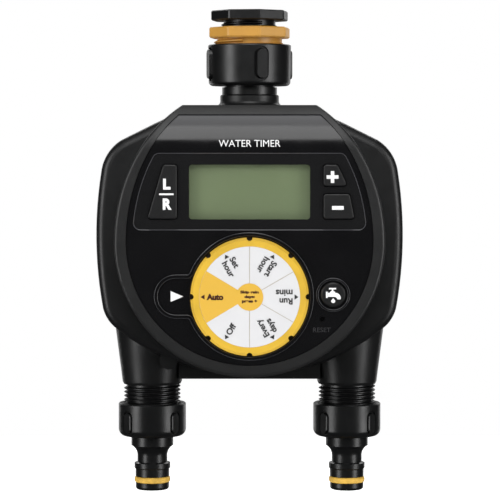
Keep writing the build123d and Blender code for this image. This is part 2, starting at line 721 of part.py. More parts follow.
def valve_cover_screws():
    with BuildPart() as screws:
        with BuildSketch(at_z(CHAMBER_TOP_Z - 5)):
            valve_screw_circles(VALVE_SCREW_R)
        extrude(amount=COVER_PLATE_Z - CHAMBER_TOP_Z + 5)
        with BuildSketch(at_z(COVER_PLATE_Z)):
            valve_screw_circles(2.1)
        extrude(amount=1.5)
        fillet(screws.faces().group_by(Axis.Z)[-1].edges(), 0.5)
    save(screws, "valve_cover_screws")


def solenoid_bobbin(name, x):
    with BuildPart() as bobbin:
        add(turned([(GUIDE_R + 0.1, COIL_END_Z - 1.2), (9.4, COIL_END_Z - 1.2), (9.4, COIL_END_Z),
                    (COIL_INNER_R, COIL_END_Z), (COIL_INNER_R, COIL_TOP_Z), (9.4, COIL_TOP_Z),
                    (9.4, COIL_TOP_Z + 1.2), (GUIDE_R + 0.1, COIL_TOP_Z + 1.2)], x))
    save(bobbin, name)


def solenoid_winding(name, x):
    with BuildPart() as winding:
        add(turned([(COIL_INNER_R, COIL_END_Z), (COIL_R, COIL_END_Z), (COIL_R, COIL_TOP_Z),
                    (COIL_INNER_R, COIL_TOP_Z)], x))
    save(winding, name)


def solenoid_frame(name, x):
    """Steel bracket that closes the magnetic path: two plates joined behind the coil."""
    with BuildPart() as bracket:
        with BuildSketch(Plane.YZ.offset(x - 7)):
            with BuildLine():
                Polyline((-8, -95.2), (10.9, -95.2), (10.9, -72.6), (-8, -72.6), (-8, -73.9), (9.6, -73.9),
                         (9.6, -93.9), (-8, -93.9), close=True)
            make_face()
        extrude(amount=14)
        with BuildSketch(at_z(-96)):
            with Locations((x, 0)):
                Circle(GUIDE_R + 0.1)
        extrude(amount=25, mode=Mode.SUBTRACT)
    save(bracket, name)


def plunger(name, x):
    with BuildPart() as armature:
        add(turned([(0, DIAPHRAGM_TOP_Z + 0.1), (1.4, DIAPHRAGM_TOP_Z + 0.1), (1.4, -99.6),
                    (PLUNGER_R, -98.4), (PLUNGER_R, -84), (0, -84)], x))
    save(armature, name)


def plunger_spring(name, x):
    with BuildPart() as spring:
        path = Helix(1.7, 10.4, 2.7, center=(x, 0, -83.2))
        with BuildSketch(Plane(origin=path @ 0, z_dir=path % 0)):
            Circle(0.3)
        sweep(path=path, is_frenet=True)
    save(spring, name)


def outlet_spigot(name, x):
    with BuildPart() as spigot:
        add(turned([(7, -134.4), (9.55, -134.4), (9.55, -144.2), (11.5, -144.2), (11.5, LEG_END_Z),
                    (G34_ROOT_R, LEG_END_Z), (G34_ROOT_R, SPIGOT_END_Z + 0.5),
                    (G34_ROOT_R - 0.5, SPIGOT_END_Z), (7, SPIGOT_END_Z)], x))
        add(helical_ridge(x, G34_ROOT_R, G34_CREST_R, G34_PITCH, SPIGOT_END_Z + 1.2, LEG_END_Z - 0.2))
    save(spigot, name)


def connector(name, x):
    """Ribbed nut and hose nipple in one moulding."""
    cavity_r = G34_CREST_R + THREAD_GAP
    with BuildPart() as fitting:
        with BuildSketch(Plane.XZ):
            with BuildLine():
                Polyline((x + NIPPLE_BORE_R, CONNECTOR_FLOOR_Z), (x + cavity_r, CONNECTOR_FLOOR_Z),
                         (x + cavity_r, CONNECTOR_TOP_Z), (x + CONNECTOR_NUT_R - 0.5, CONNECTOR_TOP_Z),
                         (x + CONNECTOR_NUT_R, CONNECTOR_TOP_Z - 0.5), (x + CONNECTOR_NUT_R, -195.3))
                ThreePointArc((x + CONNECTOR_NUT_R, -195.3), (x + 14.7, -197.8),
                              (x + 12.2, CONNECTOR_NUT_END_Z))
                Polyline((x + 12.2, CONNECTOR_NUT_END_Z), (x + 9.9, CONNECTOR_NUT_END_Z), (x + 9.9, -203.2))
                ThreePointArc((x + 9.9, -203.2), (x + 7.9, -205.0), (x + 7.05, -207.7))
                Polyline((x + 7.05, -207.7), (x + 7.05, -211.0), (x + 8.46, -211.5), (x + 8.46, -213.8),
                         (x + 7.95, -214.3), (x + 7.95, -217.8), (x + 6.3, -217.8), (x + 6.3, -220.8),
                         (x + 7.83, -220.8), (x + 7.83, -222.8))
                ThreePointArc((x + 7.83, -222.8), (x + 7.45, -223.7), (x + 6.5, NIPPLE_END_Z))
                Polyline((x + 6.5, NIPPLE_END_Z), (x + NIPPLE_BORE_R, NIPPLE_END_Z),
                         (x + NIPPLE_BORE_R, CONNECTOR_FLOOR_Z))
            make_face()
        revolve(axis=Axis((x, 0, 0), (0, 0, 1)))
        add(grip_pads(x, 45, CONNECTOR_NUT_R - GRIP_GROOVE, CONNECTOR_NUT_R + 2, 5.9, -197.6, -186.2),
            mode=Mode.SUBTRACT)
        add(grip_pads(x, 45, CONNECTOR_NUT_R - GRIP_GROOVE - 0.5, CONNECTOR_NUT_R + 0.5, 4.7, -197.0,
                      -186.8, 15))
    save(fitting, name)


def o_ring(name, x):
    with BuildPart() as ring:
        with BuildSketch(Plane.XZ):
            with Locations((x + 7.35, -219.3)):
                RectangleRounded(2.06, 2.8, 0.98)
        revolve(axis=Axis((x, 0, 0), (0, 0, 1)))
    save(ring, name)


# ---- controller ----

def dial_knob():
    with BuildPart() as knob:
        add(turned_front([(DIAL_BACK_Y, 0), (DIAL_BACK_Y, DIAL_R), (DIAL_FRONT_Y + 1.3, DIAL_R),
                          (DIAL_FRONT_Y, DIAL_R - 1.1), (DIAL_FRONT_Y, LABEL_R + 0.05),
                          (DIAL_FRONT_Y + 0.4, LABEL_R + 0.05), (DIAL_FRONT_Y + 0.4, 0)], 0, DIAL_Z))
        with BuildSketch(at_y(DIAL_BACK_Y)):
            with Locations((0, DIAL_Z)):
                Circle(5.0)
        extrude(amount=-2)
        with BuildSketch(at_y(DIAL_BACK_Y + 3)):
            with Locations((0, DIAL_Z)):
                with PolarLocations(DIAL_R - 0.2, 8):
                    Circle(1.35)
        extrude(amount=10, mode=Mode.SUBTRACT)
        with BuildSketch(at_y(DIAL_BACK_Y + 3)):
            with Locations((0, DIAL_Z)):
                Circle(SHAFT_R)
                with Locations((0, SHAFT_R)):
                    Rectangle(2 * SHAFT_R, 1.2, mode=Mode.SUBTRACT)
        extrude(amount=6, mode=Mode.SUBTRACT)
    save(knob, "dial_knob")


def dial_label():
    with BuildPart() as label:
        with BuildSketch(at_y(DIAL_FRONT_Y + 0.4)):
            with Locations((0, DIAL_Z)):
                Circle(LABEL_R)
        extrude(amount=0.4)
    save(label, "dial_label")


def dial_shaft():
    """Switch shaft, round in the switch and with a flat where it drives the knob."""
    base_y = BOARD_FRONT_Y - 0.4
    tip_y = DIAL_BACK_Y - 2.8
    with BuildPart() as shaft:
        with BuildSketch(at_y(base_y)):
            with Locations((0, DIAL_Z)):
                Circle(SHAFT_R)
        extrude(amount=base_y - tip_y)
        with BuildSketch(at_y(-30.5)):
            with Locations((0, DIAL_Z + SHAFT_R)):
                Rectangle(2 * SHAFT_R, 1.2)
        extrude(amount=8, mode=Mode.SUBTRACT)
    save(shaft, "dial_shaft")


def rotary_switch():
    with BuildPart() as switch:
        with BuildSketch(at_y(BOARD_FRONT_Y)):
            with Locations((0, DIAL_Z)):
                RectangleRounded(16, 16, 1.5)
        extrude(amount=4.3)
        with BuildSketch(at_y(BOARD_FRONT_Y - 0.3)):
            with Locations((0, DIAL_Z)):
                Circle(SHAFT_R + RUNNING_GAP)
        extrude(amount=6, mode=Mode.SUBTRACT)
    save(switch, "rotary_switch")


def push_button(name, outline, place):
    """Four-sided button: a cap through the panel, a lip behind it and a stem into its switch."""
    face_y = FRONT_Y + PANEL_SET_BACK
    floor_y = FRONT_Y + FLOOR_BACK
    with BuildPart() as button:
        with BuildSketch(at_y(floor_y + 0.2)):
            button_sketch(outline, 0)
        extrude(amount=floor_y + 0.2 - face_y + BUTTON_PROUD)
        fillet(button.faces().sort_by(Axis.Y)[0].edges(), 0.5)
        with BuildSketch(at_y(floor_y + 1.2)):
            button_sketch(outline, BUTTON_LIP)
        extrude(amount=1)
        with BuildSketch(at_y(SWITCH_TOP_Y + 0.4)):
            with Locations(place):
                Circle(STEM_R)
        extrude(amount=SWITCH_TOP_Y + 0.4 - floor_y - 0.5)
    save(button, name)


def manual_button():
    face_y = FRONT_Y + PANEL_SET_BACK
    floor_y = FRONT_Y + FLOOR_BACK
    tip = SWITCH_TOP_Y + 0.4
    with BuildPart() as button:
        add(turned_front([(tip, 0), (tip, STEM_R), (floor_y + 1.2, STEM_R),
                          (floor_y + 1.2, MANUAL_R + BUTTON_LIP), (floor_y + 0.2, MANUAL_R + BUTTON_LIP),
                          (floor_y + 0.2, MANUAL_R), (face_y - BUTTON_PROUD + 0.5, MANUAL_R),
                          (face_y - BUTTON_PROUD, MANUAL_R - 0.6), (face_y - BUTTON_PROUD, 0)],
                         MANUAL_X, MANUAL_Z))
    save(button, "manual_button")


def reset_plunger():
    face_y = FRONT_Y + PANEL_SET_BACK
    floor_y = FRONT_Y + FLOOR_BACK
    tip = SWITCH_TOP_Y + 0.4
    with BuildPart() as pin:
        add(turned_front([(tip, 0), (tip, STEM_R), (floor_y + 1.2, STEM_R), (floor_y + 1.2, 2.2),
                          (floor_y + 0.2, 2.2), (floor_y + 0.2, RESET_R), (face_y + 0.8, RESET_R),
                          (face_y + 0.8, 0)], RESET_X, RESET_Z))
    save(pin, "reset_plunger")


def button_switches():
    with BuildPart() as switches:
        with BuildSketch(at_y(BOARD_FRONT_Y)):
            with Locations(*SWITCH_PLACES):
                RectangleRounded(6, 6, 0.4)
        extrude(amount=BOARD_FRONT_Y - SWITCH_TOP_Y)
        with BuildSketch(at_y(BOARD_FRONT_Y - 0.4)):
            with Locations(*SWITCH_PLACES):
                Circle(STEM_R + RUNNING_GAP)
        extrude(amount=4, mode=Mode.SUBTRACT)
    save(switches, "button_switches")


def circuit_board():
    with BuildPart() as board:
        with BuildSketch(at_y(BOARD_BACK_Y)):
            with Locations((0, CENTRE_Z)):
                Ellipse(54.5, 60.0)
                Rectangle(120, 90, align=(Align.CENTER, Align.MAX), mode=Mode.SUBTRACT)
                Circle(54.5)
            with Locations((0, -62.0)):
                Rectangle(120, 30, align=(Align.CENTER, Align.MIN), mode=Mode.SUBTRACT)
            with Locations(*CASE_SCREWS):
                Circle(4.2, mode=Mode.SUBTRACT)
            with Locations(*BOARD_POSTS):
                Circle(1.3, mode=Mode.SUBTRACT)
        extrude(amount=BOARD_BACK_Y - BOARD_FRONT_Y)
    save(board, "circuit_board")


def lcd_window():
    face_y = FRONT_Y + PANEL_SET_BACK
    with BuildPart() as window:
        with BuildSketch(at_y(face_y + 2.3)):
            with Locations((0, (LCD_TOP_Z + LCD_END_Z) / 2)):
                RectangleRounded(LCD_X - 0.1, LCD_TOP_Z - LCD_END_Z - 0.1, 1.35)
        extrude(amount=1.2)
    save(window, "lcd_window")


def lcd_glass():
    with BuildPart() as glass:
        with BuildSketch(at_y(-29.2)):
            with Locations((0, (LCD_TOP_Z + LCD_END_Z) / 2)):
                Rectangle(LCD_X + 3, LCD_TOP_Z - LCD_END_Z + 3)
        extrude(amount=1.5)
    save(glass, "lcd_glass")


def lcd_frame():
    height = LCD_TOP_Z - LCD_END_Z + 3
    with BuildPart() as frame:
        with BuildSketch(at_y(BOARD_FRONT_Y)):
            with Locations((0, (LCD_TOP_Z + LCD_END_Z) / 2)):
                Rectangle(LCD_X + 5.4, height + 2.4)
        extrude(amount=4.6)
        with BuildSketch(at_y(-29.2)):
            with Locations((0, (LCD_TOP_Z + LCD_END_Z) / 2)):
                Rectangle(LCD_X + 3, height)
        extrude(amount=3, mode=Mode.SUBTRACT)
    save(frame, "lcd_frame")


# ---- batteries ----

def battery_box():
    with BuildPart() as tray:
        with BuildSketch(at_y(TRAY_BACK_Y)):
            with Locations((0, (TRAY_TOP_Z + TRAY_END_Z) / 2)):
                RectangleRounded(2 * TRAY_HALF_X, TRAY_TOP_Z - TRAY_END_Z, 1.5)
        extrude(amount=TRAY_BACK_Y - TRAY_FRONT_Y)
        with BuildSketch(at_y(TRAY_BACK_Y)):
            with Locations((0, (TRAY_TOP_Z + TRAY_END_Z) / 2)):
                Rectangle(2 * (TRAY_HALF_X - TRAY_WALL), TRAY_TOP_Z - TRAY_END_Z - 2 * TRAY_WALL)
        extrude(amount=TRAY_BACK_Y - TRAY_FRONT_Y - TRAY_WALL, mode=Mode.SUBTRACT)
    save(tray, "battery_box")


def batteries():
    """Two AA cells lying side by side, facing opposite ways."""
    with BuildPart() as cells:
        for z, way in zip(CELL_ROWS_Z, (1, -1)):
            flat_end = Plane(origin=(-way * CELL_HALF_LENGTH, CELL_Y, z), x_dir=(0, 1, 0), z_dir=(way, 0, 0))
            with BuildSketch(flat_end):
                Circle(CELL_R)
            extrude(amount=2 * CELL_HALF_LENGTH)
            with BuildSketch(flat_end.offset(2 * CELL_HALF_LENGTH)):
                Circle(2.7)
            extrude(amount=1.2)
    save(cells, "batteries")


def battery_contacts():
    """Contact plates at both ends of the box, each with a coil for one cell's flat end."""
    plate_x = TRAY_HALF_X - TRAY_WALL
    with BuildPart() as contacts:
        for side, spring_z in ((-1, CELL_ROWS_Z[0]), (1, CELL_ROWS_Z[1])):
            wall = Plane(origin=(side * plate_x, CELL_Y, 0), x_dir=(0, 1, 0), z_dir=(-side, 0, 0))
            with BuildSketch(wall):
                with Locations(*[(0, -side * z) for z in CELL_ROWS_Z]):
                    Rectangle(9, 14)
            extrude(amount=0.5)
            with BuildSketch(wall):
                with Locations((0, -side * spring_z)):
                    Circle(3.6)
            extrude(amount=plate_x - CELL_HALF_LENGTH - 0.1, taper=14)
    save(contacts, "battery_contacts")


def battery_door():
    with BuildPart() as door:
        with BuildSketch(at_y(BULGE_BACK_Y)):
            with Locations((0, TRAY_TOP_Z + 0.7)):
                Rectangle(2 * DOOR_HALF_X, TRAY_TOP_Z + 0.7 - HINGE_Z, align=(Align.CENTER, Align.MAX))
        extrude(amount=DOOR_THICK)
        with BuildSketch(Plane.YZ.offset(-DOOR_HALF_X)):
            with Locations((HINGE_Y, HINGE_Z)):
                Circle(HINGE_BARREL_R)
        extrude(amount=2 * DOOR_HALF_X)
        with BuildSketch(Plane.YZ.offset(-DOOR_HALF_X - 1.8)):
            with Locations((HINGE_Y, HINGE_Z)):
                Circle(HINGE_PIN_R)
        extrude(amount=2 * DOOR_HALF_X + 3.6)
        with BuildSketch(at_y(BULGE_BACK_Y)):
            with Locations((0, TRAY_TOP_Z - 3)):
                SlotOverall(18, 4)
        extrude(amount=1.0, mode=Mode.SUBTRACT)
    save(door, "battery_door")


def battery_door_seal():
    with BuildPart() as seal:
        with BuildSketch(at_y(BULGE_BACK_Y - DOOR_THICK)):
            with Locations((0, (TRAY_TOP_Z + TRAY_END_Z) / 2 + 0.8)):
                RectangleRounded(2 * TRAY_HALF_X - 0.4, TRAY_TOP_Z - TRAY_END_Z - 2.4, 1.4)
                RectangleRounded(2 * TRAY_HALF_X - 3.4, TRAY_TOP_Z - TRAY_END_Z - 5.4, 1.0,
                                 mode=Mode.SUBTRACT)
        extrude(amount=1.5)
    save(seal, "battery_door_seal")


# ---- wires ----

def wire(route, bend):
    """Insulated lead along a route of points, with equal bends."""
    with BuildPart() as lead:
        with BuildLine() as path:
            FilletPolyline(*route, radius=bend)
        with BuildSketch(Plane(origin=path.line @ 0, z_dir=path.line % 0)):
            Circle(0.6)
        sweep(path=path.line)
    return lead.part


def battery_leads():
    with BuildPart() as leads:
        for x in (22.0, 24.5):
            add(wire([(x, TRAY_FRONT_Y, -88), (x, -6, -88), (x, -6, -74), (x, BOARD_BACK_Y, -74)], 4))
    save(leads, "battery_leads")


def solenoid_leads():
    with BuildPart() as leads:
        for x in (-47.0, -44.4, 44.4, 47.0):
            add(wire([(x, -8.8, -84), (x, -15, -84), (x, -15, -93), (x, BOARD_BACK_Y, -93)], 2.5))
    save(leads, "solenoid_leads")


def main():
    os.makedirs("parts", exist_ok=True)
    tap_reducer()
    tap_adapter()
    washer("reducer_washer", 0, *REDUCER_WASHER)
    washer("adapter_washer", 0, *ADAPTER_WASHER)
    washer("inlet_washer", 0, *INLET_WASHER)
    inlet_nut()
    inlet_spigot()
    filter_screen()
    rear_housing()
    housing_seal()
    front_cover()
    fascia_panel()
    housing_screws()
    board_screws()
    valve_body()
    valve_cover_screws()
    for side, x in (("left", -OUTLET_X), ("right", OUTLET_X)):
        diaphragm(f"{side}_diaphragm", x)
        valve_cover(f"{side}_valve_cover", x)
        solenoid_bobbin(f"{side}_solenoid_bobbin", x)
        solenoid_winding(f"{side}_solenoid_winding", x)
        solenoid_frame(f"{side}_solenoid_frame", x)
        plunger(f"{side}_plunger", x)
        plunger_spring(f"{side}_plunger_spring", x)
        outlet_spigot(f"{side}_outlet_spigot", x)
        connector(f"{side}_connector", x)
        washer(f"{side}_connector_washer", x, *CONNECTOR_WASHER)
        o_ring(f"{side}_o_ring", x)
    dial_knob()
    dial_label()
    dial_shaft()
    rotary_switch()
    push_button("mode_button", MODE_OUTLINE, SWITCH_PLACES[0])
    push_button("plus_button", PLUS_OUTLINE, SWITCH_PLACES[1])
    push_button("minus_button", MINUS_OUTLINE, SWITCH_PLACES[2])
    manual_button()
    reset_plunger()
    button_switches()
    circuit_board()
    lcd_window()
    lcd_glass()
    lcd_frame()
    battery_box()
    batteries()
    battery_contacts()
    battery_door()
    battery_door_seal()
    battery_leads()
    solenoid_leads()


main()
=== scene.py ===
"""Looks of the two-outlet tap water timer: materials, printed legends, light and camera.

Every CAD node keeps its mesh and gets a procedural material, apart from the two plunger springs,
which are hidden, with copies of their meshes in their place. Legends, the dial's print and the
embossed word are thin meshes laid on the CAD surfaces. Lengths are in metres.
"""
import json
from math import cos, pi, radians, sin

import bpy
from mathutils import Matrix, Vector
from mathutils.bvhtree import BVHTree


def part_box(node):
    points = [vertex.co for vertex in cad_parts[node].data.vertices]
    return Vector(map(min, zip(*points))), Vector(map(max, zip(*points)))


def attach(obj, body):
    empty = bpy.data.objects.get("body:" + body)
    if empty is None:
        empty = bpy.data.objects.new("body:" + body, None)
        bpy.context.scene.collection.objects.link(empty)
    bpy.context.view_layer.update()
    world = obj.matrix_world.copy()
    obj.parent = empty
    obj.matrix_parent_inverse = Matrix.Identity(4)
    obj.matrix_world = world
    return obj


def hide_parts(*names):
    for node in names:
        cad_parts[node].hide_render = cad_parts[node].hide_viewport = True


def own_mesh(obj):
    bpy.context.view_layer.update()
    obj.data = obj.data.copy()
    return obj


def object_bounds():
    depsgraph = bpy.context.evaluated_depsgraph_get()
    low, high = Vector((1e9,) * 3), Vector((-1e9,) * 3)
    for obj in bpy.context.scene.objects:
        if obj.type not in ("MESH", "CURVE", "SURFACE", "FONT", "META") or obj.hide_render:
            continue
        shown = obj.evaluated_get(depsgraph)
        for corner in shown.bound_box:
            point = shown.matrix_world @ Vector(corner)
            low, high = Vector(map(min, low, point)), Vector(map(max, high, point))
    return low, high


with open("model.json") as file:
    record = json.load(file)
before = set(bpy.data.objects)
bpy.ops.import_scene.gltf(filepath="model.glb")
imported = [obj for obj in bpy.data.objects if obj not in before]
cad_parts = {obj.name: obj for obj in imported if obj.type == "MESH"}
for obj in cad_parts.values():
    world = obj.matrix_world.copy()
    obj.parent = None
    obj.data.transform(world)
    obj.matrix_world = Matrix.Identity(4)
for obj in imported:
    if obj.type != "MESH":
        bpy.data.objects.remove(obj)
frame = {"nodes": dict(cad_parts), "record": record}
NODES = frame["nodes"]
CAD_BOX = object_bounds()

MM = 0.001
PRINT_THICK = 0.06 * MM
PRINT_GAP = 0.02 * MM

# The satin recess round the display, whose sheen is painted as a paler colour, lies behind RECESS_Y, between
# two heights.
RECESS_Y = -34.25 * MM
RECESS_TOP_Z = -66.3 * MM
RECESS_END_Z = -100.9 * MM
RECESS_BLEND = 0.1 * MM


# ---------------------------------------------------------------- places, worked out from the frame

def centre(node):
    """Centre of a CAD node's box."""
    low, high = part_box(node)
    return (Vector(low) + Vector(high)) / 2


DIAL = centre("dial_label")
LABEL_R = (Vector(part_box("dial_label")[1]) - DIAL).x


# ---------------------------------------------------------------- materials

class Shader:
    """A Principled material built up from small node recipes in object coordinates."""

    def __init__(self, name, colour, roughness, metallic=0.0, specular=0.5):
        self.material = bpy.data.materials.new(name)
        self.material.use_nodes = True
        self.tree = self.material.node_tree
        self.principled = self.tree.nodes["Principled BSDF"]
        self.set("Base Color", (*colour, 1))
        self.set("Roughness", roughness)
        self.set("Metallic", metallic)
        self.set("Specular IOR Level", specular)
        self.colour = colour
        self.roughness = roughness
        self.place = self.node("ShaderNodeTexCoord").outputs["Object"]

    def node(self, kind, **values):
        made = self.tree.nodes.new(kind)
        for key, value in values.items():
            setattr(made, key, value)
        return made

    def link(self, source, target):
        self.tree.links.new(source, target)

    def set(self, socket, value):
        self.principled.inputs[socket].default_value = value

    def noise(self, scale, detail=3.0, stretch=(1, 1, 1)):
        mapping = self.node("ShaderNodeMapping")
        mapping.inputs["Scale"].default_value = stretch
        self.link(self.place, mapping.inputs["Vector"])
        noise = self.node("ShaderNodeTexNoise")
        noise.inputs["Scale"].default_value = scale
        noise.inputs["Detail"].default_value = detail
        self.link(mapping.outputs["Vector"], noise.inputs["Vector"])
        return noise.outputs["Fac"]

    def mix(self, factor, first, second):
        """Colour mix: factor and colours may be sockets or plain values."""
        mixer = self.node("ShaderNodeMix", data_type="RGBA")
        for socket, value in ((mixer.inputs[0], factor), (mixer.inputs[6], first), (mixer.inputs[7], second)):
            if hasattr(value, "links"):
                self.link(value, socket)
            elif isinstance(value, tuple):
                socket.default_value = (*value, 1)
            else:
                socket.default_value = value
        return mixer.outputs[2]

    def spread(self, value, low, high, start=0.35, end=0.65):
        """Value between start and end, mapped to low to high."""
        ramp = self.node("ShaderNodeMapRange")
        for socket, number in zip(("From Min", "From Max", "To Min", "To Max"), (start, end, low, high)):
            ramp.inputs[socket].default_value = number
        self.link(value, ramp.inputs["Value"])
        return ramp.outputs["Result"]

    def apart(self, vector):
        """The X, Y and Z of a vector socket."""
        parts = self.node("ShaderNodeSeparateXYZ")
        self.link(vector, parts.inputs["Vector"])
        return parts.outputs

    def times(self, *factors):
        """Product of several value sockets."""
        product = factors[0]
        for factor in factors[1:]:
            multiply = self.node("ShaderNodeMath", operation="MULTIPLY")
            self.link(product, multiply.inputs[0])
            self.link(factor, multiply.inputs[1])
            product = multiply.outputs[0]
        return product

    def vary_colour(self, amount, scale):
        """Slow drift of the base colour between a darker and a lighter shade."""
        dark = tuple(c * (1 - amount) for c in self.colour)
        light = tuple(min(1.0, c * (1 + amount)) for c in self.colour)
        mixed = self.mix(self.spread(self.noise(scale, 4), 0, 1), dark, light)
        self.link(mixed, self.principled.inputs["Base Color"])
        return mixed

    def vary_roughness(self, amount, scale, stretch=(1, 1, 1)):
        """Roughness that drifts either side of its mean, as handling and moulding leave it."""
        value = self.spread(self.noise(scale, 5, stretch), self.roughness - amount, self.roughness + amount)
        self.link(value, self.principled.inputs["Roughness"])

    def grain(self, scale, depth, strength=1.0, detail=2.0, stretch=(1, 1, 1)):
        """Fine surface relief, depth in metres."""
        bump = self.node("ShaderNodeBump")
        bump.inputs["Distance"].default_value = depth
        bump.inputs["Strength"].default_value = strength
        self.link(self.noise(scale, detail, stretch), bump.inputs["Height"])
        self.link(bump.outputs["Normal"], self.principled.inputs["Normal"])


def moulded(name, colour, roughness, grain_depth=0.02 * MM, specular=0.5):
    """Injection-moulded plastic with fine spark-eroded grain."""
    shader = Shader(name, colour, roughness, specular=specular)
    shader.vary_colour(0.08, 55)
    shader.vary_roughness(0.025, 160)
    shader.grain(2600, grain_depth)
    return shader.material


def gloss(name, colour, roughness):
    """Polished plastic, with a faint waviness and polishing haze."""
    shader = Shader(name, colour, roughness)
    shader.vary_colour(0.08, 30)
    shader.vary_roughness(0.03, 60)
    shader.grain(220, 0.004 * MM)
    return shader.material


def panel_plastic(name):
    """Polished black panel: its rounded edges are painted paler as a highlight, and the satin recess round
    the display has its sheen painted as a paler colour.
    """
    shader = Shader(name, (0.004, 0.004, 0.0045), 0.16)
    polished = shader.vary_colour(0.08, 30)
    place = shader.apart(shader.place)
    in_recess = shader.times(shader.spread(place["Y"], 0, 1, RECESS_Y, RECESS_Y + RECESS_BLEND),
                             shader.spread(place["Z"], 0, 1, RECESS_END_Z, RECESS_END_Z + RECESS_BLEND),
                             shader.spread(place["Z"], 1, 0, RECESS_TOP_Z, RECESS_TOP_Z + RECESS_BLEND))
    # The recess round the display gets a paler base colour: painted sheen standing in for its satin look.
    recess_painted_sheen = shader.mix(in_recess, polished, (0.0085, 0.0085, 0.009))
    # Faces turned away from the front get a paler colour: a painted highlight on the rounded edges and rims.
    normal = shader.apart(shader.node("ShaderNodeNewGeometry").outputs["Normal"])
    painted_highlight_edge = shader.times(shader.spread(normal["Y"], 0, 1, -0.97, -0.8),
                           shader.spread(normal["Y"], 1, 0, -0.3, -0.1))
    shader.link(shader.mix(painted_highlight_edge, recess_painted_sheen, (0.055, 0.055, 0.06)), shader.principled.inputs["Base Color"])
    shader.vary_roughness(0.03, 60)
    shader.grain(220, 0.004 * MM)
    return shader.material


def rubber(name, colour):
    """Soft moulded rubber with a dry, slightly mottled surface."""
    shader = Shader(name, colour, 0.55, specular=0.35)
    shader.vary_colour(0.18, 300)
    shader.vary_roughness(0.1, 500)
    shader.grain(1800, 0.015 * MM)
    return shader.material


def metal(name, colour, roughness, stretch=(1, 1, 12)):
    """Drawn or plated metal, brushed along one direction."""
    shader = Shader(name, colour, roughness, metallic=1.0)
    shader.vary_colour(0.1, 200)
    shader.vary_roughness(0.08, 900, stretch)
    shader.grain(1500, 0.006 * MM, stretch=stretch)
    return shader.material


def printed(name, colour, roughness=0.45):
    """Screen-printed ink, with the slight unevenness of its film."""
    shader = Shader(name, colour, roughness)
    shader.vary_colour(0.012, 90)
    shader.vary_roughness(0.05, 700)
    shader.grain(3000, 0.0015 * MM)
    return shader.material


def display(name, colour):
    """Reflective liquid-crystal display: even grey-green with a fine dot texture."""
    shader = Shader(name, colour, 0.35)
    shader.vary_colour(0.03, 40)
    shader.vary_roughness(0.04, 90)
    shader.grain(5000, 0.003 * MM)
    return shader.material


def clear_lens(name):
    """Clear window: mostly see-through, with a polished face and faint smears."""
    shader = Shader(name, (0.08, 0.09, 0.08), 0.08)
    shader.set("Alpha", 0.08)
    shader.vary_roughness(0.03, 45)
    shader.grain(160, 0.002 * MM)
    return shader.material


def board_resin(name):
    """Solder mask over glass cloth: a fine weave shows through the green."""
    shader = Shader(name, (0.02, 0.11, 0.045), 0.3)
    shader.vary_colour(0.25, 120)
    shader.vary_roughness(0.06, 800)
    shader.grain(1400, 0.02 * MM, stretch=(1, 1, 3))
    return shader.material


def copper_winding(name):
    """Close-wound enamelled wire: fine rings up the coil."""
    shader = Shader(name, (0.55, 0.2, 0.06), 0.3, metallic=1.0)
    wave = shader.node("ShaderNodeTexWave", wave_type="BANDS", bands_direction="Z")
    wave.inputs["Scale"].default_value = 1000
    shader.link(shader.place, wave.inputs["Vector"])
    bump = shader.node("ShaderNodeBump")
    bump.inputs["Distance"].default_value = 0.08 * MM
    shader.link(wave.outputs["Fac"], bump.inputs["Height"])
    shader.link(bump.outputs["Normal"], shader.principled.inputs["Normal"])
    shader.vary_colour(0.2, 300)
    return shader.material


MATERIALS = {
    "housing_black": moulded("housing_black", (0.0032, 0.0034, 0.0036), 0.4, 0.03 * MM),
    "fitting_black": moulded("fitting_black", (0.0026, 0.0028, 0.003), 0.34),
    "cover_black": moulded("cover_black", (0.0092, 0.0094, 0.0096), 0.42, 0.03 * MM),
    # Near-black, barely reflecting plastic for the reset plunger: painted shade in its pinhole.
    "pinhole_shade_black": moulded("pinhole_shade_black", (0.0008, 0.0008, 0.0008), 0.6, specular=0.1),
    "door_black": moulded("door_black", (0.0032, 0.0034, 0.0036), 0.42, 0.04 * MM),
    "panel_black": panel_plastic("panel_black"),
    "button_black": moulded("button_black", (0.007, 0.007, 0.0073), 0.38),
    "adapter_yellow": moulded("adapter_yellow", (0.57, 0.29, 0.05), 0.42),
    "dial_yellow": moulded("dial_yellow", (0.66, 0.41, 0.035), 0.42),
    "label_white": printed("label_white", (0.66, 0.66, 0.67)),
    "lens_clear": clear_lens("lens_clear"),
    "display_green": display("display_green", (0.18, 0.232, 0.12)),
    "inner_plastic": moulded("inner_plastic", (0.5, 0.5, 0.47), 0.45),
    "board_green": board_resin("board_green"),
    "seal_rubber": rubber("seal_rubber", (0.02, 0.02, 0.02)),
    "o_ring_yellow": rubber("o_ring_yellow", (0.6, 0.36, 0.055)),
    "steel": metal("steel", (0.62, 0.62, 0.6), 0.32),
    "copper": copper_winding("copper"),
    "cell_sleeve": gloss("cell_sleeve", (0.03, 0.035, 0.045), 0.25),
    "wire_red": rubber("wire_red", (0.5, 0.04, 0.03)),
}
INK = {
    "white": printed("ink_white", (0.85, 0.85, 0.85)),
    "yellow": printed("ink_yellow", (0.7, 0.42, 0.05)),
    "black": printed("ink_black", (0.02, 0.02, 0.02)),
    "maroon": printed("ink_maroon", (0.045, 0.006, 0.005)),
    "grey_line": printed("ink_line", (0.36, 0.3, 0.2)),
    # Paler, rougher copy of the panel's black for the embossed reset word: painted sheen on its relief.
    "panel": gloss("emboss_painted_sheen", (0.03, 0.03, 0.032), 0.3),
}
# The reset plunger takes the near-black of painted shade in its pinhole.
OTHER_LOOKS = {"front_cover": "cover_black", "reset_plunger": "pinhole_shade_black"}


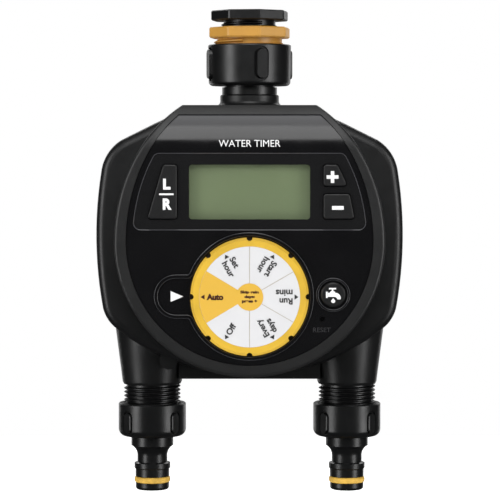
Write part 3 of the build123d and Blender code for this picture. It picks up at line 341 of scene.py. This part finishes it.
def dress_cad_nodes():
    """Give every CAD node the material of its slot in the record, or its own shade of it."""
    for entry in frame["record"]["subparts"]:
        node = NODES[entry["node"]]
        node.data.materials.clear()
        look = OTHER_LOOKS.get(entry["node"], entry["material_slot"])
        node.data.materials.append(MATERIALS[look])


# ---------------------------------------------------------------- thin printed and embossed pieces

def add_piece(name, mesh, body):
    """New object of a mesh, which rides on a body and takes its finish from a slot."""
    piece = bpy.data.objects.new(name, mesh)
    bpy.context.scene.collection.objects.link(piece)
    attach(piece, body)
    return piece


def prism(outline, front, back):
    """Vertices and faces of a flat closed outline of (x, z) points between two depths."""
    count = len(outline)
    vertices = [(x, front, z) for x, z in outline] + [(x, back, z) for x, z in outline]
    faces = [tuple(range(count)), tuple(reversed(range(count, 2 * count)))]
    for i in range(count):
        j = (i + 1) % count
        faces.append((j, i, i + count, j + count))
    return vertices, faces


def join_shapes(shapes):
    """One vertex and face list from several."""
    vertices = []
    faces = []
    for more_vertices, more_faces in shapes:
        start = len(vertices)
        vertices += more_vertices
        faces += [tuple(start + i for i in face) for face in more_faces]
    return vertices, faces


def print_shapes(name, outlines, front, ink, body):
    """Flat outlines printed on a surface that faces the front at depth front."""
    depths = front - PRINT_THICK, front + PRINT_THICK
    vertices, faces = join_shapes([prism(outline, *depths) for outline in outlines])
    mesh = bpy.data.meshes.new(name)
    mesh.from_pydata(vertices, [], faces)
    mesh.validate()
    mesh.materials.append(INK[ink])
    return add_piece(name, mesh, body)


def text_mesh(name, words, height, width=None, bold=0.0, align="centre"):
    """Mesh of one line of built-in lettering, upright, facing the front, centred or starting at 0."""
    curve = bpy.data.curves.new(name, "FONT")
    curve.body = words
    curve.size = 1.0
    curve.offset = bold
    curve.extrude = 0.01
    curve.resolution_u = 4
    source = bpy.data.objects.new(name + "_curve", curve)
    bpy.context.scene.collection.objects.link(source)
    bpy.context.view_layer.update()
    mesh = bpy.data.meshes.new_from_object(source.evaluated_get(bpy.context.evaluated_depsgraph_get()))
    bpy.data.objects.remove(source)
    bpy.data.curves.remove(curve)
    xs = [v.co.x for v in mesh.vertices]
    ys = [v.co.y for v in mesh.vertices]
    tall = height / (max(ys) - min(ys))
    wide = width / (max(xs) - min(xs)) if width else tall
    middle_x = (max(xs) + min(xs)) / 2 if align == "centre" else min(xs)
    middle_y = (max(ys) + min(ys)) / 2
    for v in mesh.vertices:
        depth = -PRINT_THICK if v.co.z > 0 else PRINT_THICK
        v.co = Vector(((v.co.x - middle_x) * wide, depth, (v.co.y - middle_y) * tall))
    return mesh


def print_text(name, words, place, height, ink, body, width=None, bold=0.0, turn=0.0,
               align="centre"):
    """Lettering at place = (x, y, z), turned in the picture plane by turn radians."""
    mesh = text_mesh(name, words, height, width, bold, align)
    for v in mesh.vertices:
        x, z = v.co.x, v.co.z
        v.co.x = place[0] + x * cos(turn) - z * sin(turn)
        v.co.z = place[2] + x * sin(turn) + z * cos(turn)
        v.co.y += place[1]
    mesh.materials.append(INK[ink])
    return add_piece(name, mesh, body)


def lay_on(piece, node):
    """Move a piece made at depth 0 onto the front of a CAD node, following its curve."""
    mesh = NODES[node].data
    tree = BVHTree.FromPolygons([v.co for v in mesh.vertices], [p.vertices for p in mesh.polygons])
    for v in piece.data.vertices:
        hit = tree.ray_cast(Vector((v.co.x, -1, v.co.z)), Vector((0, 1, 0)))[0]
        if hit:
            v.co.y += hit.y
    return piece


def circle(cx, cz, radius, count=48, start=0.0, end=2 * pi):
    """Points of a circle or arc round (cx, cz)."""
    full = abs(end - start - 2 * pi) < 1e-6
    steps = count if full else count - 1
    return [(cx + radius * cos(start + (end - start) * i / steps),
             cz + radius * sin(start + (end - start) * i / steps)) for i in range(count)]


def box_outline(cx, cz, width, height):
    """Four corners of a rectangle."""
    return [(cx - width / 2, cz - height / 2), (cx + width / 2, cz - height / 2),
            (cx + width / 2, cz + height / 2), (cx - width / 2, cz + height / 2)]


# ---------------------------------------------------------------- springs

def plunger_springs():
    """Each plunger's return spring is hidden, and a copy of its mesh, attached to the case, stands in its
    place.
    """
    for side in ("left", "right"):
        node = f"{side}_plunger_spring"
        coil = bpy.data.objects.new(f"{side}_spring_coil", NODES[node].data.copy())
        coil.matrix_world = NODES[node].matrix_world
        bpy.context.scene.collection.objects.link(coil)
        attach(coil, "case")
        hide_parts(node)
        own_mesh(coil)


# ---------------------------------------------------------------- dial print

YELLOW_HALF_ANGLE = radians(31)
SECTOR_LINES = (90, 30, -30, -90)
SECTOR_LINE_HALF = 0.09 * MM
HUB_R = 6.2 * MM
HUB_WORDS = (("Skip rain", 8.4 * MM), ("days:", 4.8 * MM), ("press +", 7.0 * MM))
HUB_PITCH = 2.1 * MM
HUB_WORD_HEIGHT = 1.7 * MM
ARROW_TIP_R = 22.1 * MM
ARROW_BASE_R = 20.4 * MM
ARROW_HALF = 1.15 * MM
WORD_START_R = 19.5 * MM
WORD_PITCH = 3.9 * MM

# Heights of small letters and of tails, and a tailed word's shift, as shares of the capitals' height.
WORD_CAP = 2.9 * MM
SMALL_SHARE = 0.74
TAIL_SHARE = 0.27
TAIL_SHIFT = 0.13
SECTORS = (("auto", ("Auto",), 180), ("clock", ("Set", "hour"), 120), ("start", ("Start", "hour"), 60),
           ("run", ("Run", "mins"), 0), ("every", ("Every", "days"), -60), ("off", ("Off",), -120))


def on_dial(radius, angle, across=0.0):
    """Point on the dial at radius and angle, moved across that direction."""
    return (DIAL.x + radius * cos(angle) - across * sin(angle),
            DIAL.z + radius * sin(angle) + across * cos(angle))


def has_tail(word):
    """Whether a dial word has a letter that reaches below the line."""
    return any(letter in "yp" for letter in word)


def word_height(word):
    """Height of a dial word's ink."""
    tall = word[0].isupper() or any(letter in "hdti" for letter in word)
    return WORD_CAP * ((1.0 if tall else SMALL_SHARE) + (TAIL_SHARE if has_tail(word) else 0))


def dial_print():
    """Yellow sector and hub, sector lines, pointers and words."""
    low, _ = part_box("dial_label")
    face = low[1] - PRINT_GAP
    sector = [(DIAL.x, DIAL.z)] + circle(DIAL.x, DIAL.z, LABEL_R - 0.05 * MM, 40,
                                         pi - YELLOW_HALF_ANGLE, pi + YELLOW_HALF_ANGLE)
    print_shapes("dial_sector", [sector], face, "yellow", "dial")
    print_shapes("dial_hub", [circle(DIAL.x, DIAL.z, HUB_R, 64)], face - PRINT_THICK, "yellow", "dial")
    lines = []
    for degrees in SECTOR_LINES:
        ends = ((HUB_R, -1), (LABEL_R - 0.1 * MM, -1), (LABEL_R - 0.1 * MM, 1), (HUB_R, 1))
        lines.append([on_dial(radius, radians(degrees), side * SECTOR_LINE_HALF) for radius, side in ends])
    print_shapes("dial_lines", lines, face, "grey_line", "dial")
    for key, words, degrees in SECTORS:
        angle = radians(degrees)
        bold = key == "auto"
        ink = "maroon" if bold else "black"
        tip = on_dial(ARROW_TIP_R, angle)
        base = [on_dial(ARROW_BASE_R, angle, side * ARROW_HALF) for side in (-1, 1)]
        print_shapes(f"dial_arrow_{key}", [[tip, *base]], face - PRINT_THICK, ink, "dial")
        for row, word in enumerate(words):
            across = (row - (len(words) - 1) / 2) * WORD_PITCH
            if has_tail(word):
                across += WORD_CAP * TAIL_SHIFT
            x, z = on_dial(WORD_START_R, angle, across)
            print_text(f"dial_word_{key}_{row}", word, (x, face - PRINT_THICK, z), word_height(word), ink,
                       "dial", bold=0.06 if bold else 0.025, turn=angle - pi, align="start")
    for row, (word, width) in enumerate(HUB_WORDS):
        place = (DIAL.x, face - 2 * PRINT_THICK, DIAL.z + (1 - row) * HUB_PITCH)
        print_text(f"dial_hub_{row}", word, place, HUB_WORD_HEIGHT, "maroon", "dial",
                   width=width, bold=0.055)


# ---------------------------------------------------------------- legends on the buttons and panel

# Places on the mode button: right of its middle, and a share of its height. Sizes: width, height.
L_RIGHT, L_SHARE, L_SIZE, L_STROKE = 1.95 * MM, 0.63, (3.4 * MM, 5.0 * MM), 1.3 * MM
R_RIGHT, R_SHARE, R_SIZE = 2.15 * MM, 0.295, (4.1 * MM, 5.2 * MM)
BAR_RIGHT, BAR_SHARE, BAR_SIZE = 1.75 * MM, 0.46, (6.6 * MM, 0.8 * MM)
PLUS_SHIFT = Vector((-1.0 * MM, 0, -0.7 * MM))
PLUS_SIZE = (5.4 * MM, 1.6 * MM)
MINUS_SHIFT = Vector((-0.4 * MM, 0, -0.6 * MM))
MINUS_SIZE = (5.3 * MM, 1.7 * MM)
HOOD_WORDS_UP = 69.6 * MM
HOOD_WORDS_SIZE = (28 * MM, 3.1 * MM)
POINTER_LEFT = 35.9 * MM
POINTER_LONG = 5.8 * MM
POINTER_HALF = 2.45 * MM
RESET_SHIFT = Vector((-0.2 * MM, 0, -5.0 * MM))
RESET_SIZE = (8.0 * MM, 2.1 * MM)


def plus_outline(cx, cz, span, bar):
    """Outline of a plus sign."""
    a, b = span / 2, bar / 2
    return [(cx - b, cz - a), (cx + b, cz - a), (cx + b, cz - b), (cx + a, cz - b), (cx + a, cz + b),
            (cx + b, cz + b), (cx + b, cz + a), (cx - b, cz + a), (cx - b, cz + b), (cx - a, cz + b),
            (cx - a, cz - b), (cx - b, cz - b)]


def corner_outline(cx, cz, width, height, bar):
    """Outline of a capital L, centred on (cx, cz)."""
    left, right, low, high = cx - width / 2, cx + width / 2, cz - height / 2, cz + height / 2
    return [(left, low), (right, low), (right, low + bar), (left + bar, low + bar), (left + bar, high),
            (left, high)]


def sign_on(button, name, outlines):
    """White sign printed on the front of a button."""
    lay_on(print_shapes(name, outlines, 0, "white", button), button)


def button_legends():
    """White legends: L over R with a bar between, plus and minus."""
    low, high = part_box("mode_button")
    middle = (low[0] + high[0]) / 2

    def on_mode(right, share):
        """Point right of the mode button's middle, at a share of its height."""
        return middle + right, low[2] + (high[2] - low[2]) * share

    sign_on("mode_button", "mode_left", [corner_outline(*on_mode(L_RIGHT, L_SHARE), *L_SIZE, L_STROKE)])
    x, z = on_mode(R_RIGHT, R_SHARE)
    letter_r = print_text("mode_right", "R", (x, 0, z), R_SIZE[1], "white", "mode_button",
                          width=R_SIZE[0], bold=0.055)
    lay_on(letter_r, "mode_button")
    sign_on("mode_button", "mode_bar", [box_outline(*on_mode(BAR_RIGHT, BAR_SHARE), *BAR_SIZE)])
    plus = centre("plus_button") + PLUS_SHIFT
    sign_on("plus_button", "plus_sign", [plus_outline(plus.x, plus.z, *PLUS_SIZE)])
    minus = centre("minus_button") + MINUS_SHIFT
    sign_on("minus_button", "minus_sign", [box_outline(minus.x, minus.z, *MINUS_SIZE)])


def tap_outlines(cx, cz):
    """Pictogram of a garden tap: handle, stem, body with flange and spout, and a drop."""
    def at(points):
        return [(cx + x * MM, cz + z * MM) for x, z in points]

    handle = at([(-1.9, 2.5), (1.3, 2.5), (1.3, 3.2), (-1.9, 3.2)])
    stem = at([(-0.7, 1.6), (0.1, 1.6), (0.1, 2.6), (-0.7, 2.6)])
    body = at([(-2.4, -0.9), (0.4, -0.9), (1.1, -1.0), (1.7, -1.5), (1.9, -2.0), (3.4, -2.0),
               (3.4, -0.9), (2.9, 0.1), (2.0, 0.8), (1.0, 1.0), (0.5, 1.7), (-1.1, 1.7), (-1.6, 1.0),
               (-2.4, 1.0)])
    flange = at([(-3.3, -1.4), (-2.5, -1.4), (-2.5, 1.5), (-3.3, 1.5)])
    drop = at([(0.0, -1.5), (0.85, -2.5), (0.95, -3.0), (0.6, -3.5), (0.0, -3.7), (-0.6, -3.5),
               (-0.95, -3.0), (-0.85, -2.5)])
    return [handle, stem, body, flange, drop]


def panel_legends():
    """Generic words on the hood, the pointer, the tap pictogram and the embossed reset word."""
    words = print_text("hood_words", "WATER TIMER", (0, 0, DIAL.z + HOOD_WORDS_UP), HOOD_WORDS_SIZE[1],
                       "white", "case", width=HOOD_WORDS_SIZE[0])
    lay_on(words, "fascia_panel")
    left = DIAL.x - POINTER_LEFT
    pointer = [(left, DIAL.z - POINTER_HALF), (left + POINTER_LONG, DIAL.z), (left, DIAL.z + POINTER_HALF)]
    lay_on(print_shapes("pointer", [pointer], 0, "white", "case"), "fascia_panel")
    tap = centre("manual_button")
    sign_on("manual_button", "tap_sign", tap_outlines(tap.x, tap.z))
    place = centre("reset_plunger") + RESET_SHIFT
    # The reset word takes the paler ink: painted sheen on the embossed letters.
    word = print_text("reset_word", "RESET", (place.x, 0, place.z), RESET_SIZE[1], "panel", "case",
                      width=RESET_SIZE[0])
    lay_on(word, "fascia_panel")


# ---------------------------------------------------------------- floor, light and camera

FLOOR_HALF_WIDTH = 0.6
FLOOR_FRONT = -0.3
FLOOR_BACK = 0.45
FLOOR_DROP = 30 * MM
FLOOR_GLOW = 0.65
SURROUND_GLOW = 0.05
LIT_POINT = Vector((0, 0, -0.1))
CAMERA_EYE = Vector((0.0002, -1.125, -0.063))
CAMERA_AIM = Vector((0.0002, 0, -0.1116))
CAMERA_LENS = 173
CAMERA_SENSOR = 36


def stage_floor():
    """Plain white floor, below the nipples' lowest position, which runs out into the white surround."""
    low, _ = CAD_BOX
    level = low[2] - FLOOR_DROP
    mesh = bpy.data.meshes.new("floor")
    mesh.from_pydata([(-FLOOR_HALF_WIDTH, FLOOR_FRONT, level), (FLOOR_HALF_WIDTH, FLOOR_FRONT, level),
                      (FLOOR_HALF_WIDTH, FLOOR_BACK, level), (-FLOOR_HALF_WIDTH, FLOOR_BACK, level)],
                     [], [(0, 1, 2, 3)])
    shader = Shader("floor_pale", (0.95, 0.95, 0.95), 0.8, specular=0.1)
    shader.set("Emission Color", (1, 1, 1, 1))
    shader.set("Emission Strength", FLOOR_GLOW)
    shader.vary_roughness(0.05, 3)
    mesh.materials.append(shader.material)
    floor = bpy.data.objects.new("floor", mesh)
    bpy.context.scene.collection.objects.link(floor)
    floor.visible_glossy = False


def soft_light(name, azimuth, elevation, distance, width, height, radiance):
    """Soft box aimed at the object. Azimuth is off the camera's side; radiance is its face's brightness."""
    data = bpy.data.lights.new(name, "AREA")
    data.shape = "RECTANGLE"
    data.size = width
    data.size_y = height
    data.energy = radiance * pi * width * height
    turn, rise = radians(azimuth), radians(elevation)
    away = Vector((sin(turn) * cos(rise), -cos(turn) * cos(rise), sin(rise)))
    light = bpy.data.objects.new(name, data)
    light.location = LIT_POINT + away * distance
    light.rotation_euler = away.to_track_quat("Z", "Y").to_euler()
    bpy.context.scene.collection.objects.link(light)


def light_scene():
    """Two tall strips at the sides, banks in front, overhead and behind, and two strips behind."""
    soft_light("front_bank", 0, 32, 1.2, 0.8, 0.6, 3.6)
    soft_light("top_bank", 0, 66, 1.25, 0.9, 0.95, 2.0)
    for side in (-1, 1):
        soft_light(f"strip_{side}", side * 57, 3, 1.25, 0.46, 1.2, 5.2)
        soft_light(f"back_strip_{side}", side * 152, 8, 1.2, 0.36, 1.2, 1.3)
    soft_light("back_bank", 180, 38, 1.25, 0.9, 0.7, 3.6)
    world = bpy.data.worlds.new("surround")
    bpy.context.scene.world = world
    world.use_nodes = True
    tree = world.node_tree
    background = tree.nodes["Background"]
    background.inputs["Color"].default_value = (1, 1, 1, 1)
    path = tree.nodes.new("ShaderNodeLightPath")
    strength = tree.nodes.new("ShaderNodeMapRange")
    strength.inputs["To Min"].default_value = SURROUND_GLOW
    strength.inputs["To Max"].default_value = 1.0
    tree.links.new(path.outputs["Is Camera Ray"], strength.inputs["Value"])
    tree.links.new(strength.outputs["Result"], background.inputs["Strength"])


def place_camera():
    """Level-headed product view from just over a metre away, looking slightly down."""
    data = bpy.data.cameras.new("camera")
    data.lens = CAMERA_LENS
    data.sensor_width = CAMERA_SENSOR
    data.clip_start = 0.05
    camera = bpy.data.objects.new("camera", data)
    camera.location = CAMERA_EYE
    camera.rotation_euler = (CAMERA_AIM - CAMERA_EYE).to_track_quat("-Z", "Y").to_euler()
    bpy.context.scene.collection.objects.link(camera)
    bpy.context.scene.camera = camera
    bpy.context.scene.view_settings.view_transform = "Standard"


dress_cad_nodes()
plunger_springs()
dial_print()
button_legends()
panel_legends()
stage_floor()
light_scene()
place_camera()
